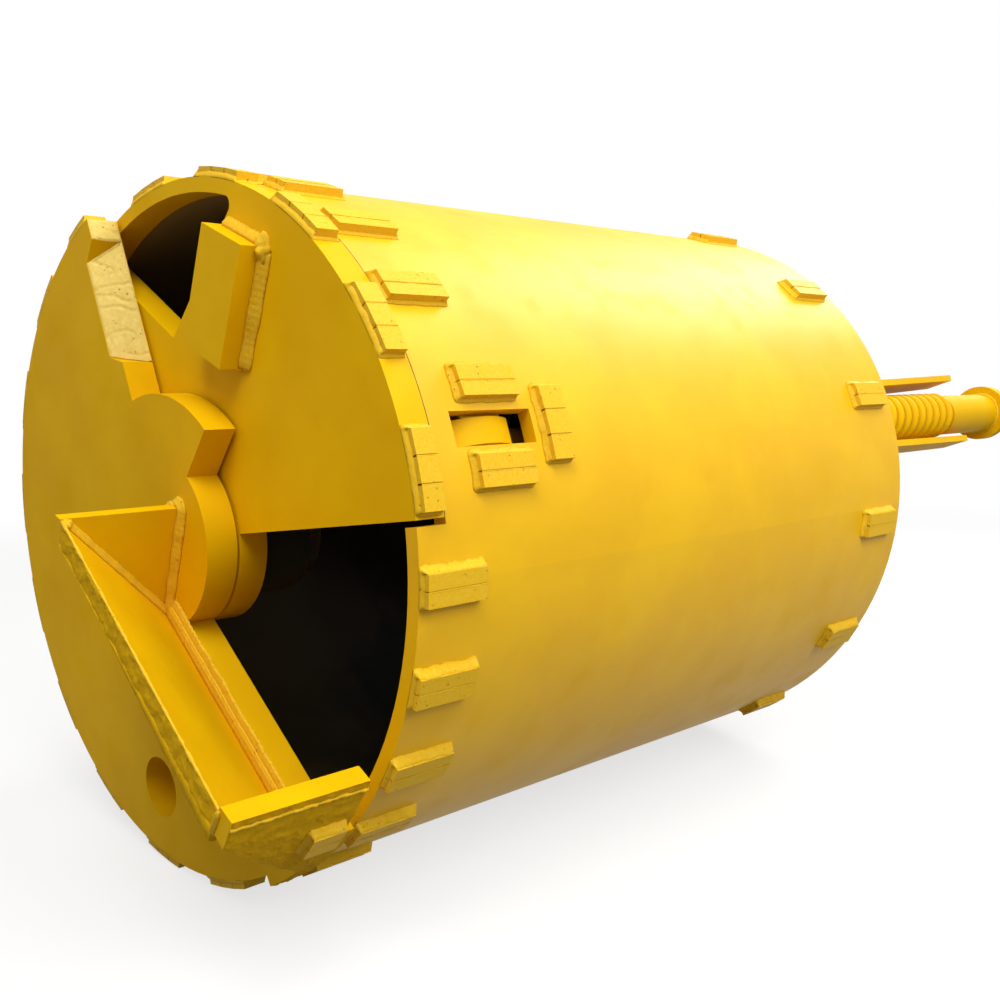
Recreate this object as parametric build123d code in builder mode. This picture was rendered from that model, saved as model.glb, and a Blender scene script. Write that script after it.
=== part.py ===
from build123d import *
import os
from math import acos, asin, cos, degrees, hypot, radians, sin, sqrt

# Pile cleaning bucket for a rotary drilling rig, lying on its side.
# Millimetres. The bucket's axis runs along Y: the kelly box's mouth is at the
# origin and the two bottom plates are at the -Y end. Z is up as it lies.
# Angles go round the axis, from +X towards +Z, as seen from the bottom plates.
# Depths are counted along the axis, from the gate's outer face to the kelly end.

# Barrel
shell_diameter = 1000.0
shell_wall = 20.0
shell_length = 1170.0
top_plate_thickness = 30.0
vent_diameter = 120.0
vent_circle_inset = 160.0
vent_angles = (75.0, 140.0, 220.0, 300.0)

# Kelly box
kelly_bore = 200.0
kelly_wall = 30.0
kelly_height = 340.0
kelly_pin_bore = 62.0
kelly_pin_offset = 90.0
kelly_gusset_thickness = 25.0
kelly_gusset_reach = 150.0
kelly_gusset_height = 190.0
kelly_gusset_toe = 30.0
kelly_doubler_thickness = 15.0
kelly_doubler_margin = 35.0

# Gate, the fixed upper one of the two bottom plates
gate_thickness = 45.0
gate_seat_gap = 0.3
gate_hub_radius = 125.0
intake_start_angle = 8.6
intake_span_angle = 84.0
intake_relief_angle = 30.0
tongue_gap = 8.0
vent_window_height = 245.0
vent_window_chord_angle = 61.6
vent_window_chord_side = -168.0
vent_window_rim_side = -99.0
vent_window_corner = 12.0
stop_block_hub_gap = 70.0
stop_block_rim_gap = 58.0
stop_block_width = 97.0
stop_block_height = 37.0
stop_block_angle = 68.6

# Cleaning plate, the lower bottom plate that turns on the king pin
plate_gap = 5.0
cleaning_thickness = 48.0
cleaning_rim_inset = 5.0
cleaning_edge_angle = 113.3
cleaning_edge_lead = 15.0
cleaning_large_hub_radius = 209.0
cleaning_small_hub_radius = 125.0
cleaning_step_angle = 51.5
scoop_angle = -38.0
scoop_edge_offset = 55.0
knife_setback = 33.0
knife_hub_gap = 59.0
knife_rim_gap = 33.0
knife_end_slope = 22.0
eye_diameter = 94.0
eye_rim_inset = 107.0
eye_angle = -96.0

# Scoop on the cleaning plate
scoop_root_setback = 25.0
scoop_height = 177.0
scoop_lean = 161.0
blade_thickness = 24.0
scoop_inner_along = 72.0
hard_facing = 3.0
gusset_thickness = 14.0
gusset_angle = 71.0
end_plate_lap = 11.0
end_plate_thickness = 26.0
end_plate_start_angle = -28.0
end_plate_span_angle = 32.0
end_plate_rear_gap = 16.0
end_plate_notch_depth = 18.0
end_plate_notch_angle = 11.5

# King pin and its housing on the gate
king_pin_diameter = 100.0
king_pin_fit = 0.3
king_housing_diameter = 190.0
king_housing_length = 95.0
king_collar_diameter = 160.0
king_collar_thickness = 28.0
king_collar_gap = 3.0

# Wear strips
strip_length = 95.0
strip_width = 40.0
strip_height = 13.0
strip_seam = 1.5
strip_bars = 2
rim_strip_tiles = 3
short_strip_tiles = 2
gate_strip_width = 33.0
cleaning_strip_width = 34.0
rim_strip_inset = 4.0
front_strip_start = 50.0
tongue_strip_start = 3.0
rear_strip_from_top = 35.0
window_strip_inset = 21.0
window_end_strip_gap = 15.0
scoop_strip_start = -98.0
scoop_strip_length = 50.0
scoop_strip_angle = -38.4
tongue_strip_angles = (-0.7, -15.0, -29.5, -44.0, -58.4)
front_strip_angles = (42.3, 57.0, 71.5, 86.0, 100.5, 115.0, 129.5, 144.0, 158.5, 173.0, 228.0, 243.0)
rest_strip_angles = (-81.0, -99.0)
rear_strip_angles = (75.0, 49.3, 23.0, -3.0, -28.6, -54.0, -126.0, -152.0, 182.0, 156.0, 129.0, 102.0)
window_strip_angles = (26.7, 14.1)
gate_strip_angles = (14.9, 36.5, 58.0, 79.5, 101.0, 122.8, 144.4, 166.0, 231.0, 252.6)
cleaning_short_strip_angle = 116.7
cleaning_strip_angles = (135.5, 157.3, 178.5, 199.7, 221.4, 242.6, 264.2, 285.7)

# Latch and its window
latch_angle = 20.3
window_below_pivot = 70.0
window_length = 138.0
window_width = 44.0
latch_thickness = 34.0
latch_pivot_inset = 100.0
latch_pivot_depth = 150.0
latch_boss_radius = 28.0
latch_head_radius = 91.0
latch_head_low_angle = -43.0
latch_head_high_angle = 30.0
latch_pin_diameter = 25.0
latch_pin_fit = 0.5
latch_arm_outer = 12.0
latch_arm_width = 24.0
latch_hook_reach = 18.0
latch_hook_thickness = 14.0
latch_hook_floor_gap = 13.0
latch_nose_height = 52.0
latch_nose_inner = 14.0
latch_nose_play = 30.0
latch_ear_thickness = 15.0
latch_ear_height = 60.0
latch_side_gap = 5.0
keeper_bar_diameter = 20.0
keeper_bar_out = 8.0
keeper_wall = 15.0
keeper_foot = 60.0
keeper_clearance = 4.0

# Push rod with its return spring
rod_inset = 73.0
rod_diameter = 36.0
rod_bore_fit = 1.0
sleeve_diameter = 80.0
sleeve_start = 340.0
sleeve_length = 213.0
cap_diameter = 114.0
cap_thickness = 27.0
cap_chamfer = 3.0
spring_outer_diameter = 92.0
spring_wire = 16.0
spring_turns = 10.5
spring_steps_per_turn = 12
spring_wire_sides = 8
spring_end_gap = 0.3
rod_bush_diameter = 66.0
rod_bush_flange_diameter = 100.0
rod_bush_flange_thickness = 8.0
guide_bar_thickness = 12.0
guide_bar_gap = 6.0
guide_bar_width = 76.0
guide_bar_tip_width = 52.0
guide_bar_length = 400.0
guide_bar_splay = 14.0
guide_ring_depth = 820.0
guide_ring_thickness = 20.0
guide_ring_diameter = 72.0

# Gate hinge, opposite the latch
hinge_angle = 200.0
hinge_standoff = 42.0
hinge_knuckle_radius = 32.0
hinge_pin_diameter = 40.0
hinge_pin_fit = 0.5
hinge_gate_lug = (40.0, 80.0)
hinge_inner_lug = (10.0, 35.0)
hinge_outer_lug = (85.0, 110.0)
hinge_bracket_length = 130.0
hinge_pin_overhang = 10.0

overrun = 40.0

# Worked out from the sizes above
shell_radius = shell_diameter / 2
bore_radius = shell_radius - shell_wall
bottom_y = -(shell_length + kelly_height)
shell_front = gate_thickness + gate_seat_gap
intake_end_angle = intake_start_angle - intake_span_angle
tongue_gap_angle = degrees(tongue_gap / shell_radius)
vent_circle_radius = bore_radius - vent_circle_inset
vent_window_chord = bore_radius - vent_window_height
stop_block_start = cleaning_large_hub_radius + stop_block_hub_gap
stop_block_end = shell_radius - stop_block_rim_gap
cleaning_radius = shell_radius - cleaning_rim_inset
knife_inner_radius = cleaning_large_hub_radius + knife_hub_gap
knife_outer_radius = cleaning_radius - knife_rim_gap
eye_radius = cleaning_radius - eye_rim_inset
end_plate_inner_radius = cleaning_radius - end_plate_lap
end_plate_outer_radius = end_plate_inner_radius + end_plate_thickness
latch_pivot_radius = shell_radius - latch_pivot_inset
window_start = latch_pivot_depth - window_below_pivot
window_end = window_start + window_length
rod_radius = shell_radius - rod_inset
rod_lower_end_depth = latch_pivot_depth + latch_nose_height + latch_nose_play
spring_radius = (spring_outer_diameter - spring_wire) / 2
hinge_radius = shell_radius + hinge_standoff


def polar(radius, angle):
    return radius * cos(radians(angle)), radius * sin(radians(angle))


def station(depth, turn=0.0):
    """Plane square to the axis, facing the bottom end, turned about the axis."""
    out_x, out_z = polar(1, turn)
    return Plane(origin=(0, bottom_y + depth, 0), x_dir=(out_x, 0, out_z), z_dir=(0, -1, 0))


def spoke(angle, side=0.0):
    """Plane through the axis: x outwards, y towards the kelly end."""
    out_x, out_z = polar(1, angle)
    return Plane(
        origin=(-side * out_z, bottom_y, side * out_x),
        x_dir=(out_x, 0, out_z),
        z_dir=(-out_z, 0, out_x),
    )


def rod_station(depth):
    """Plane square to the push rod, centred on it."""
    rod_x, rod_z = polar(rod_radius, latch_angle)
    out_x, out_z = polar(1, latch_angle)
    return Plane(origin=(rod_x, bottom_y + depth, rod_z), x_dir=(out_x, 0, out_z), z_dir=(0, -1, 0))


def intake_sector(start_angle, end_angle, relief_angle=0.0):
    """Outline of a pie slice that reaches past the rim, wider at the hub by the relief angle."""
    Polyline(
        (0, 0),
        polar(gate_hub_radius, end_angle - relief_angle),
        polar(shell_radius, end_angle),
        polar(shell_diameter, end_angle),
        polar(shell_diameter, (start_angle + end_angle) / 2),
        polar(shell_diameter, start_angle),
        close=True,
    )


pieces = {}


def keep(name, piece):
    piece.label = name
    pieces[name] = piece


# Shell: a rolled tube whose tongue closes the rim beside the gate's intake
with BuildPart() as shell:
    with BuildSketch(station(0)):
        Circle(shell_radius)
        Circle(bore_radius, mode=Mode.SUBTRACT)
    extrude(amount=-shell_length)
    with BuildSketch(station(0)):
        Circle(shell_radius + overrun)
        with BuildLine():
            intake_sector(intake_start_angle - tongue_gap_angle, intake_end_angle + tongue_gap_angle)
        make_face(mode=Mode.SUBTRACT)
    extrude(amount=-shell_front, mode=Mode.SUBTRACT)
    with BuildSketch(spoke(latch_angle)):
        with Locations((shell_radius, window_start + window_length / 2)):
            Rectangle(2 * overrun, window_length)
    extrude(amount=window_width / 2, both=True, mode=Mode.SUBTRACT)
keep("shell", shell.part)

# Top plate, set inside the shell's upper rim
with BuildPart() as top_plate:
    with BuildSketch(station(shell_length)):
        Circle(bore_radius)
        with Locations(polar(rod_radius, latch_angle)):
            Circle(rod_bush_diameter / 2, mode=Mode.SUBTRACT)
        with Locations(*(polar(vent_circle_radius, angle) for angle in vent_angles)):
            Circle(vent_diameter / 2, mode=Mode.SUBTRACT)
    extrude(amount=top_plate_thickness)
keep("top_plate", top_plate.part)

# Kelly box: the square socket that the kelly bar's stub enters, with its pin bore
kelly_outer = kelly_bore + 2 * kelly_wall
kelly_corner = kelly_wall / 2
with BuildPart() as kelly_box:
    with BuildSketch(station(shell_length)):
        RectangleRounded(kelly_outer, kelly_outer, kelly_corner)
        Rectangle(kelly_bore, kelly_bore, mode=Mode.SUBTRACT)
    extrude(amount=-kelly_height)
    with BuildSketch(Plane.YZ):
        with Locations((-kelly_pin_offset, 0)):
            Circle(kelly_pin_bore / 2)
    extrude(amount=kelly_outer, both=True, mode=Mode.SUBTRACT)
keep("kelly_box", kelly_box.part)

doubler_side = kelly_outer + 2 * kelly_doubler_margin
with BuildPart() as kelly_doubler:
    with BuildSketch(station(shell_length)):
        RectangleRounded(doubler_side, doubler_side, kelly_doubler_margin)
        RectangleRounded(kelly_outer, kelly_outer, kelly_corner, mode=Mode.SUBTRACT)
    extrude(amount=-kelly_doubler_thickness)
keep("kelly_doubler", kelly_doubler.part)

# Gussets from the box's four sides down to the doubler and the top plate
gusset_foot = kelly_outer / 2
for number, angle in enumerate((0.0, 90.0, 180.0, 270.0), start=1):
    with BuildPart() as kelly_gusset:
        with BuildSketch(spoke(angle)):
            with BuildLine():
                Polyline(
                    (gusset_foot, shell_length + kelly_doubler_thickness),
                    (gusset_foot + kelly_doubler_margin, shell_length + kelly_doubler_thickness),
                    (gusset_foot + kelly_doubler_margin, shell_length),
                    (gusset_foot + kelly_gusset_reach, shell_length),
                    (gusset_foot + kelly_gusset_reach, shell_length + kelly_gusset_toe),
                    (gusset_foot + kelly_gusset_toe, shell_length + kelly_gusset_height),
                    (gusset_foot, shell_length + kelly_gusset_height),
                    close=True,
                )
            make_face()
        extrude(amount=kelly_gusset_thickness / 2, both=True)
    keep(f"kelly_gusset_{number}", kelly_gusset.part)

# Gate plate with the intake, the small segment window and the king pin's bore
with BuildPart() as gate_plate:
    with BuildSketch(station(gate_thickness)):
        Circle(shell_radius)
        with BuildLine():
            intake_sector(intake_start_angle, intake_end_angle, intake_relief_angle)
        make_face(mode=Mode.SUBTRACT)
        Circle(gate_hub_radius)
        Circle(king_pin_diameter / 2 + king_pin_fit, mode=Mode.SUBTRACT)
    extrude(amount=gate_thickness)
    window_half_chord = sqrt(bore_radius**2 - vent_window_chord**2)
    window_side_reach = sqrt(bore_radius**2 - vent_window_rim_side**2)
    with BuildSketch(station(gate_thickness, vent_window_chord_angle - 90)):
        with BuildLine():
            Line((-window_half_chord, vent_window_chord), (vent_window_chord_side, vent_window_chord))
            Line((vent_window_chord_side, vent_window_chord), (vent_window_rim_side, window_side_reach))
            RadiusArc(
                (vent_window_rim_side, window_side_reach), (-window_half_chord, vent_window_chord), -bore_radius
            )
        window_face = make_face()
        fillet(window_face.vertices().sort_by(Axis.X)[-1:], radius=vent_window_corner)
    extrude(amount=gate_thickness, mode=Mode.SUBTRACT)
keep("gate_plate", gate_plate.part)

with BuildPart() as stop_block:
    with BuildSketch(station(0)):
        with Locations(polar((stop_block_start + stop_block_end) / 2, stop_block_angle)):
            Rectangle(stop_block_end - stop_block_start, stop_block_width, rotation=stop_block_angle)
    extrude(amount=stop_block_height)
keep("stop_block", stop_block.part)

# King pin housing, a collared tube on the gate's inner face
with BuildPart() as king_housing:
    with BuildSketch(station(gate_thickness)):
        Circle(king_housing_diameter / 2)
        Circle(king_pin_diameter / 2 + king_pin_fit, mode=Mode.SUBTRACT)
    extrude(amount=-king_housing_length)
keep("king_housing", king_housing.part)

# Cleaning plate: hub steps, knife edge and the straight edge behind the scoop
edge_rim_along = sqrt(cleaning_radius**2 - scoop_edge_offset**2)
edge_hub_along = sqrt(cleaning_small_hub_radius**2 - scoop_edge_offset**2)
edge_rim_angle = scoop_angle - degrees(acos(edge_rim_along / cleaning_radius))
edge_hub_angle = scoop_angle - degrees(acos(edge_hub_along / cleaning_small_hub_radius))
knife_hub_angle = cleaning_edge_angle - degrees(asin(cleaning_edge_lead / cleaning_large_hub_radius))
knife_rim_angle = cleaning_edge_angle - degrees(asin(cleaning_edge_lead / cleaning_radius))
front_depth = -(plate_gap + cleaning_thickness)
with BuildPart() as cleaning_plate:
    with BuildSketch(station(-plate_gap)):
        with BuildLine():
            Line(
                polar(cleaning_large_hub_radius, knife_hub_angle),
                polar(cleaning_radius, knife_rim_angle),
            )
            ThreePointArc(
                polar(cleaning_radius, knife_rim_angle),
                polar(cleaning_radius, (knife_rim_angle + edge_rim_angle + 360) / 2),
                polar(cleaning_radius, edge_rim_angle),
            )
            Line(
                polar(cleaning_radius, edge_rim_angle),
                polar(cleaning_small_hub_radius, edge_hub_angle),
            )
            ThreePointArc(
                polar(cleaning_small_hub_radius, edge_hub_angle),
                polar(cleaning_small_hub_radius, (edge_hub_angle + cleaning_step_angle) / 2),
                polar(cleaning_small_hub_radius, cleaning_step_angle),
            )
            Line(
                polar(cleaning_small_hub_radius, cleaning_step_angle),
                polar(cleaning_large_hub_radius, cleaning_step_angle),
            )
            ThreePointArc(
                polar(cleaning_large_hub_radius, cleaning_step_angle),
                polar(cleaning_large_hub_radius, (cleaning_step_angle + knife_hub_angle) / 2),
                polar(cleaning_large_hub_radius, knife_hub_angle),
            )
        make_face()
        with Locations(polar(eye_radius, eye_angle)):
            Circle(eye_diameter / 2, mode=Mode.SUBTRACT)
    extrude(amount=cleaning_thickness)
    # The knife: the edge is ground away in front, down to a line at the back
    edge_x, edge_z = polar(1, cleaning_edge_angle)
    knife_plane = Plane(
        origin=(cleaning_edge_lead * edge_z, bottom_y + front_depth, -cleaning_edge_lead * edge_x),
        x_dir=(edge_x, 0, edge_z),
        z_dir=(0, -1, 0),
    )
    with BuildSketch(knife_plane):
        with BuildLine():
            Polyline(
                (knife_inner_radius, 0),
                (knife_outer_radius, 0),
                (knife_outer_radius - knife_end_slope, knife_setback),
                (knife_inner_radius + knife_end_slope, knife_setback),
                close=True,
            )
        make_face()
    with BuildSketch(knife_plane.offset(-cleaning_thickness)):
        with BuildLine():
            Polyline(
                (knife_inner_radius, -plate_gap),
                (knife_outer_radius, -plate_gap),
                (knife_outer_radius, 0),
                (knife_inner_radius, 0),
                close=True,
            )
        make_face()
    loft(mode=Mode.SUBTRACT)
keep("cleaning_plate", cleaning_plate.part)

# Scoop: a leaning blade with a gusset inside and an end plate at the rim
along_x, along_z = polar(1, scoop_angle)
over_x, over_z = polar(1, scoop_angle + 90)
root_over = -(scoop_edge_offset + scoop_root_setback)


def scoop_point(along, over):
    return along * along_x + over * over_x, along * along_z + over * over_z


scoop_section = Plane(
    origin=(0, bottom_y + front_depth, 0),
    x_dir=(over_x, 0, over_z),
    z_dir=(along_x, 0, along_z),
)
blade_run = hypot(scoop_lean, scoop_height)
blade_foot = blade_thickness * blade_run / scoop_height
blade_height = scoop_height - hard_facing
blade_lean = scoop_lean * blade_height / scoop_height
gusset_x, gusset_z = scoop_point(scoop_inner_along, root_over)
gusset_plane = Plane(
    origin=(gusset_x, bottom_y + front_depth, gusset_z),
    x_dir=(cos(radians(gusset_angle)), 0, sin(radians(gusset_angle))),
    z_dir=(sin(radians(gusset_angle)), 0, -cos(radians(gusset_angle))),
)
with BuildPart() as scoop_blade:
    with BuildSketch(scoop_section):
        with BuildLine():
            Polyline(
                (root_over, 0),
                (root_over - blade_foot, 0),
                (root_over - blade_foot + blade_lean, blade_height),
                (root_over + blade_lean, blade_height),
                close=True,
            )
        make_face()
    extrude(amount=shell_diameter, both=True)
    split(bisect_by=gusset_plane, keep=Keep.TOP)
    with BuildSketch(station(0)):
        Circle(end_plate_inner_radius)
    extrude(amount=shell_diameter, mode=Mode.INTERSECT)
keep("scoop_blade", scoop_blade.part)

gusset_foot_length = scoop_lean / cos(radians(gusset_angle - scoop_angle - 90))
with BuildPart() as scoop_gusset:
    with BuildSketch(gusset_plane):
        with BuildLine():
            Polyline((0, 0), (gusset_foot_length, 0), (gusset_foot_length, scoop_height), close=True)
        make_face()
    extrude(amount=-gusset_thickness)
keep("scoop_gusset", scoop_gusset.part)

# End plate: a rolled wall that closes the scoop at the rim, trimmed to the blade's slope
end_plate_end_angle = end_plate_start_angle - end_plate_span_angle
with BuildPart() as scoop_end_plate:
    with BuildSketch(station(-end_plate_rear_gap)):
        with BuildLine():
            intake_sector(end_plate_start_angle, end_plate_end_angle)
        make_face()
        Circle(end_plate_outer_radius, mode=Mode.INTERSECT)
        Circle(end_plate_inner_radius, mode=Mode.SUBTRACT)
    extrude(amount=blade_height - front_depth - end_plate_rear_gap)
    with BuildSketch(scoop_section):
        with BuildLine():
            Polyline(
                (root_over - blade_foot - shell_diameter, 0),
                (root_over - blade_foot, 0),
                (root_over - blade_foot + blade_lean, blade_height),
                (root_over - blade_foot - shell_diameter, blade_height),
                close=True,
            )
        make_face()
    extrude(amount=shell_diameter, both=True, mode=Mode.SUBTRACT)
    with BuildSketch(station(-plate_gap)):
        Circle(cleaning_radius)
        with BuildLine():
            Polyline(
                scoop_point(-shell_diameter, -scoop_edge_offset),
                scoop_point(shell_diameter, -scoop_edge_offset),
                scoop_point(shell_diameter, shell_diameter),
                scoop_point(-shell_diameter, shell_diameter),
                close=True,
            )
        make_face(mode=Mode.SUBTRACT)
    extrude(amount=cleaning_thickness, mode=Mode.SUBTRACT)
    # Its free corner is cut back where it hangs over the intake
    with BuildSketch(station(-end_plate_rear_gap)):
        with BuildLine():
            intake_sector(
                end_plate_start_angle + end_plate_notch_angle, end_plate_start_angle - end_plate_notch_angle
            )
        make_face()
    extrude(amount=end_plate_notch_depth, mode=Mode.SUBTRACT)
keep("scoop_end_plate", scoop_end_plate.part)

# King pin: fixed to the cleaning plate, held in the gate's housing by a collar
collar_depth = gate_thickness + king_housing_length + king_collar_gap
with BuildPart() as king_pin:
    with BuildSketch(station(-plate_gap)):
        Circle(king_pin_diameter / 2)
    extrude(amount=-(collar_depth + king_collar_thickness + plate_gap))
    with BuildSketch(station(collar_depth)):
        Circle(king_collar_diameter / 2)
    extrude(amount=-king_collar_thickness)
keep("king_pin", king_pin.part)


def axial_bars(angle, base_radius):
    """Two flat bars side by side along the barrel, at one angle of the circle."""
    bar = (strip_width - (strip_bars - 1) * strip_seam) / strip_bars
    out_x, out_z = polar(1, angle)
    for number in range(strip_bars):
        side = (number - (strip_bars - 1) / 2) * (bar + strip_seam)
        centre_x, centre_z = polar(base_radius, angle)
        with Locations((centre_x - side * out_z, centre_z + side * out_x)):
            Rectangle(2 * strip_height, bar, rotation=angle)


def rim_tiles(angle, base_radius, tiles):
    """Short flat tiles end to end round the barrel, about one angle."""
    tile = (strip_length - (rim_strip_tiles - 1) * strip_seam) / rim_strip_tiles
    pitch = degrees((tile + strip_seam) / base_radius)
    for number in range(tiles):
        turn = angle + (number - (tiles - 1) / 2) * pitch
        with Locations(polar(base_radius, turn)):
            Rectangle(2 * strip_height, tile, rotation=turn)


# Axial wear strips: node, base radius, depth of the lower end, length, angles
rear_start = shell_length - rear_strip_from_top - strip_length
axial_rows = (
    ("tongue_wear_strips", shell_radius, tongue_strip_start, strip_length, tongue_strip_angles),
    ("front_wear_strips", shell_radius, front_strip_start, strip_length, front_strip_angles),
    ("front_rest_strips", shell_radius, front_strip_start, strip_length, rest_strip_angles),
    ("rear_wear_strips", shell_radius, rear_start, strip_length, rear_strip_angles),
    ("rear_rest_strips", shell_radius, rear_start, strip_length, rest_strip_angles),
    ("window_side_strips", shell_radius, window_start + window_strip_inset, strip_length,
     window_strip_angles),
    ("scoop_wear_strip", end_plate_outer_radius, scoop_strip_start, scoop_strip_length,
     (scoop_strip_angle,)),
)
for name, base_radius, start, length, angles in axial_rows:
    with BuildPart() as strips:
        with BuildSketch(station(start)):
            for angle in angles:
                axial_bars(angle, base_radius)
            Circle(base_radius, mode=Mode.SUBTRACT)
        extrude(amount=-length)
    keep(name, strips.part)

# Wear strips round a rim: node, base radius, depth of the lower side, width, angles, angles of short ones
rim_rows = (
    ("gate_wear_strips", shell_radius, rim_strip_inset, gate_strip_width, gate_strip_angles, ()),
    ("cleaning_wear_strips", cleaning_radius, rim_strip_inset + front_depth, cleaning_strip_width,
     cleaning_strip_angles, (cleaning_short_strip_angle,)),
    ("window_end_strip", shell_radius, window_end + window_end_strip_gap, strip_width, (latch_angle,), ()),
)
for name, base_radius, start, width, angles, short_angles in rim_rows:
    with BuildPart() as strips:
        with BuildSketch(station(start)):
            for angle in angles:
                rim_tiles(angle, base_radius, rim_strip_tiles)
            for angle in short_angles:
                rim_tiles(angle, base_radius, short_strip_tiles)
            Circle(base_radius, mode=Mode.SUBTRACT)
        extrude(amount=-width)
    keep(name, strips.part)

# Latch lever: head in the window, nose under the push rod, hook round the keeper's bar
pivot = (latch_pivot_radius, latch_pivot_depth)


def from_pivot(out, up):
    return latch_pivot_radius + out, latch_pivot_depth + up


head_low = polar(latch_head_radius, latch_head_low_angle)
head_high = polar(latch_head_radius, latch_head_high_angle)
hook_low = -(latch_pivot_depth - gate_thickness - latch_hook_floor_gap)
hook_high = hook_low + latch_hook_thickness
with BuildPart() as latch:
    with BuildSketch(spoke(latch_angle)):
        with BuildLine():
            Polyline(
                from_pivot(0, latch_boss_radius),
                from_pivot(latch_nose_inner, latch_nose_height),
                from_pivot(*head_high),
            )
            ThreePointArc(
                from_pivot(*head_high),
                from_pivot(*polar(latch_head_radius, (latch_head_high_angle + latch_head_low_angle) / 2)),
                from_pivot(*head_low),
            )
            Polyline(
                from_pivot(*head_low),
                from_pivot(*polar(latch_boss_radius, latch_head_low_angle)),
                from_pivot(-latch_arm_outer, -latch_boss_radius),
                from_pivot(-latch_arm_outer, hook_high),
                from_pivot(latch_hook_reach, hook_high),
                from_pivot(latch_hook_reach, hook_low),
                from_pivot(-latch_arm_outer - latch_arm_width, hook_low),
                from_pivot(-latch_arm_outer - latch_arm_width, -latch_boss_radius),
                from_pivot(-latch_boss_radius, 0),
                from_pivot(0, latch_boss_radius),
            )
        make_face()
        with Locations(pivot):
            Circle(latch_boss_radius)
            Circle(latch_pin_diameter / 2 + latch_pin_fit, mode=Mode.SUBTRACT)
    extrude(amount=latch_thickness / 2, both=True)
keep("latch_lever", latch.part)

# Latch ears on the shell's inner wall, one each side of the lever, and their pin
ear_side = latch_thickness / 2 + latch_side_gap
with BuildPart() as ears:
    for plane, outward in ((spoke(latch_angle, ear_side), 1), (spoke(latch_angle, -ear_side), -1)):
        with BuildSketch(plane):
            with Locations(((latch_pivot_radius + shell_radius) / 2, latch_pivot_depth)):
                Rectangle(shell_radius - latch_pivot_radius, latch_ear_height)
            with Locations(pivot):
                Circle(latch_ear_height / 2)
                Circle(latch_pin_diameter / 2, mode=Mode.SUBTRACT)
        extrude(amount=outward * latch_ear_thickness)
    with BuildSketch(station(0)):
        Circle(bore_radius)
    extrude(amount=-shell_length, mode=Mode.INTERSECT)
keep("latch_ears", ears.part)

with BuildPart() as latch_pin:
    with BuildSketch(spoke(latch_angle)):
        with Locations(pivot):
            Circle(latch_pin_diameter / 2)
    extrude(amount=ear_side + latch_ear_thickness, both=True)
keep("latch_pin", latch_pin.part)

# Keeper on the gate's inner face: two cheeks with the bar that the hook holds
bar_place = from_pivot(keeper_bar_out, hook_high + keeper_clearance + keeper_bar_diameter / 2)
with BuildPart() as keeper:
    for plane, outward in ((spoke(latch_angle, ear_side), 1), (spoke(latch_angle, -ear_side), -1)):
        with BuildSketch(plane):
            with BuildLine():
                Polyline(
                    (bar_place[0] - keeper_foot / 2, gate_thickness),
                    (bar_place[0] + keeper_foot / 2, gate_thickness),
                    (bar_place[0] + keeper_bar_diameter, bar_place[1] + keeper_bar_diameter),
                    (bar_place[0] - keeper_bar_diameter, bar_place[1] + keeper_bar_diameter),
                    close=True,
                )
            make_face()
        extrude(amount=outward * keeper_wall)
    with BuildSketch(spoke(latch_angle)):
        with Locations(bar_place):
            Circle(keeper_bar_diameter / 2)
    extrude(amount=ear_side + keeper_wall, both=True)
keep("keeper", keeper.part)

# Push rod with sleeve and pressing cap, and the bush and guides it runs in
with BuildPart() as push_rod:
    with BuildSketch(rod_station(rod_lower_end_depth)):
        Circle(rod_diameter / 2)
    extrude(amount=-(shell_length + sleeve_start + sleeve_length - rod_lower_end_depth))
    chamfer(push_rod.edges().group_by(Axis.Y)[0], length=cap_chamfer)
keep("push_rod", push_rod.part)

with BuildPart() as push_sleeve:
    with BuildSketch(rod_station(shell_length + sleeve_start)):
        Circle(sleeve_diameter / 2)
        Circle(rod_diameter / 2, mode=Mode.SUBTRACT)
    extrude(amount=-sleeve_length)
keep("push_sleeve", push_sleeve.part)

with BuildPart() as push_cap:
    with BuildSketch(rod_station(shell_length + sleeve_start + sleeve_length)):
        Circle(cap_diameter / 2)
    extrude(amount=-cap_thickness)
    chamfer(push_cap.edges().group_by(Axis.Y)[-1], length=cap_chamfer)
keep("push_cap", push_cap.part)

rod_bore = rod_diameter / 2 + rod_bore_fit
with BuildPart() as rod_bush:
    with BuildSketch(rod_station(shell_length)):
        Circle(rod_bush_diameter / 2)
    extrude(amount=top_plate_thickness)
    with BuildSketch(rod_station(shell_length)):
        Circle(rod_bush_flange_diameter / 2)
    extrude(amount=-rod_bush_flange_thickness)
    with BuildSketch(rod_station(0)):
        Circle(rod_bore)
    extrude(amount=-(shell_length + overrun), mode=Mode.SUBTRACT)
keep("rod_bush", rod_bush.part)

# Return spring between the bush's flange and the sleeve, coiled in short straight steps
spring_seat = shell_length + rod_bush_flange_thickness + spring_end_gap
spring_rise = shell_length + sleeve_start - spring_end_gap - spring_seat - spring_wire
spring_steps = round(spring_turns * spring_steps_per_turn)
coil_plane = rod_station(spring_seat + spring_wire / 2)


def coil_point(step):
    across, up = polar(spring_radius, 360 * step / spring_steps_per_turn)
    return coil_plane.from_local_coords((across, up, -spring_rise * step / spring_steps))


with BuildPart() as return_spring:
    with BuildLine() as coil:
        Polyline(*(coil_point(step) for step in range(spring_steps + 1)))
    with BuildSketch(Plane(origin=coil.line @ 0, z_dir=coil.line % 0)):
        RegularPolygon(spring_wire / 2, spring_wire_sides)
    sweep(path=coil.line, transition=Transition.RIGHT)
keep("return_spring", return_spring.part)

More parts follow.
